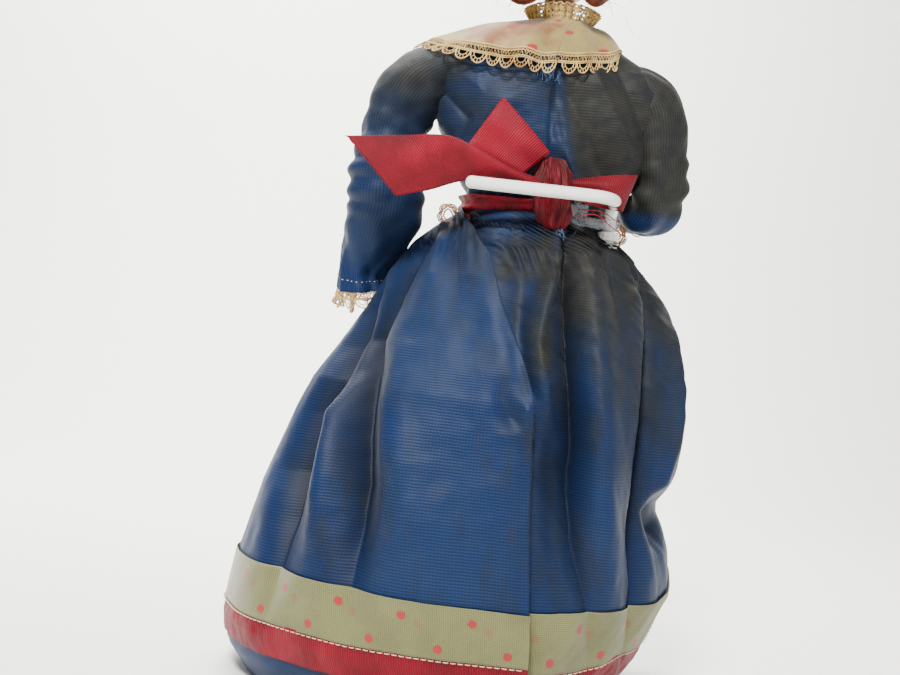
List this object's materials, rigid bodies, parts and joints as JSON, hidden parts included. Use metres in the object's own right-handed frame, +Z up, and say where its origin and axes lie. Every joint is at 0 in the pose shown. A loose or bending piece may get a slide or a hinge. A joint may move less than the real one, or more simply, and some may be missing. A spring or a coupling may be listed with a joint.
{
  "type": "ventriloquist dummy",
  "caption": "Small ventriloquist's figure of a lady in a gathered taffeta dress with a bow, lace and a hem ribbon, with a mouth lever at its back and hinged arms, legs, head and jaw",
  "frame": {"origin": "on the floor under the skirt's hem, at the middle of the outline", "axes": "+Z up through the head, the figure faces -Y, and its left is +X"},
  "size_m": [0.1462, 0.1258, 0.2924],
  "materials": {
    "wood": "bare carved wood",
    "steel": "bright wire",
    "white_plastic": "white coated rod",
    "clear_plastic": "clear",
    "thread": "twisted cotton thread",
    "blue_taffeta": "ribbed taffeta with sheen",
    "dotted_organdy": "sheer starched organdy with dots",
    "lace": "cotton lace",
    "red_ribbon": "ribbed taffeta ribbon",
    "painted_skin": "satin flesh paint over carved wood",
    "eye": "glossy",
    "hair": "fine fibre",
    "black_paint": "gloss",
    "black_leather": "polished"
  },
  "bodies": {
    "torso": {"torso_front": "wood", "torso_back": "wood", "hip_block": "wood", "hip_pin": "steel", "neck_bush": "wood", "shoulder_pin_left": "steel", "shoulder_pin_right": "steel", "lever_guide": "clear_plastic", "guide_rivet": "steel", "lever_bearing": "clear_plastic", "lever_spring": "steel", "cord_guide": "steel", "pull_cord": "thread", "bodice": "blue_taffeta", "collar": "dotted_organdy", "collar_lace": "lace", "neck_ruffle": "lace", "sash": "red_ribbon", "bow_knot": "red_ribbon", "bow_loop_upper": "red_ribbon", "bow_loop_side": "red_ribbon", "bow_tail": "red_ribbon", "skirt": "blue_taffeta", "skirt_band": "dotted_organdy", "skirt_ribbon": "red_ribbon", "apron": "dotted_organdy", "apron_lace": "lace"},
    "lever": {"mouth_lever": "white_plastic", "cord_drum": "white_plastic"},
    "pull_rod": {"pull_rod": "steel"},
    "head": {"head_front": "painted_skin", "head_back": "painted_skin", "jaw_pin": "steel", "neck_tube": "wood", "eye_left": "eye", "eye_right": "eye", "hair_cap": "hair", "hair_bun_left": "hair", "hair_bun_right": "hair", "hair_lace": "lace", "hair_pin": "black_paint"},
    "jaw": {"jaw": "painted_skin"},
    "upper_arm_left": {"upper_arm_left": "wood", "sleeve_upper_left": "blue_taffeta"},
    "forearm_left": {"forearm_left": "painted_skin", "sleeve_lower_left": "blue_taffeta", "cuff_lace_left": "lace", "elbow_pin_left": "steel"},
    "upper_arm_right": {"upper_arm_right": "wood", "sleeve_upper_right": "blue_taffeta"},
    "forearm_right": {"forearm_right": "painted_skin", "sleeve_lower_right": "blue_taffeta", "cuff_lace_right": "lace", "elbow_pin_right": "steel"},
    "leg_left": {"leg_left": "painted_skin", "shoe_left": "black_leather"},
    "leg_right": {"leg_right": "painted_skin", "shoe_right": "black_leather"}
  },
  "joints": [
    {"name": "lever_turn", "type": "hinge", "parent": "torso", "child": "lever", "pos_m": [-0.0386, 0.014, 0.15], "axis": [0, 0, 1], "range_deg": [0, 50], "stiffness_Nm_per_rad": 0.004, "springref_deg": -5.73, "deforming": ["lever_spring"]},
    {"name": "rod_slide", "type": "slide", "parent": "torso", "child": "pull_rod", "axis": [0, 0, 1], "range_m": [-0.00305, 0], "deforming": ["pull_cord"]},
    {"name": "head_turn", "type": "hinge", "parent": "torso", "child": "head", "pos_m": [-0.0153, 0, 0.2095], "axis": [0, 0, 1], "range_deg": [-60, 60]},
    {"name": "jaw_drop", "type": "hinge", "parent": "head", "child": "jaw", "pos_m": [-0.0153, 0.0095, 0.24225], "axis": [1, 0, 0], "range_deg": [0, 18.4]},
    {"name": "shoulder_left", "type": "hinge", "parent": "torso", "child": "upper_arm_left", "pos_m": [0.0187, 0, 0.2], "axis": [1, 0, 0], "range_deg": [-80, 12]},
    {"name": "elbow_left", "type": "hinge", "parent": "upper_arm_left", "child": "forearm_left", "pos_m": [0.03608, 0, 0.16734], "axis": [1, 0, 0], "range_deg": [-75, 0]},
    {"name": "shoulder_right", "type": "hinge", "parent": "torso", "child": "upper_arm_right", "pos_m": [-0.0493, 0, 0.2], "axis": [1, 0, 0], "range_deg": [-60, 5]},
    {"name": "elbow_right", "type": "hinge", "parent": "upper_arm_right", "child": "forearm_right", "pos_m": [-0.05444, 0, 0.16336], "axis": [1, 0, 0], "range_deg": [-2, 24]},
    {"name": "hip_left", "type": "hinge", "parent": "torso", "child": "leg_left", "pos_m": [-0.0043, 0, 0.134], "axis": [1, 0, 0], "range_deg": [-14, 12]},
    {"name": "hip_right", "type": "hinge", "parent": "torso", "child": "leg_right", "pos_m": [-0.0263, 0, 0.134], "axis": [1, 0, 0], "range_deg": [-14, 12]}
  ],
  "couplings": [
    {"joint": "rod_slide", "follows": "lever_turn", "m_per_rad": -0.003457},
    {"joint": "jaw_drop", "follows": "lever_turn", "ratio": 0.36389}
  ]
}
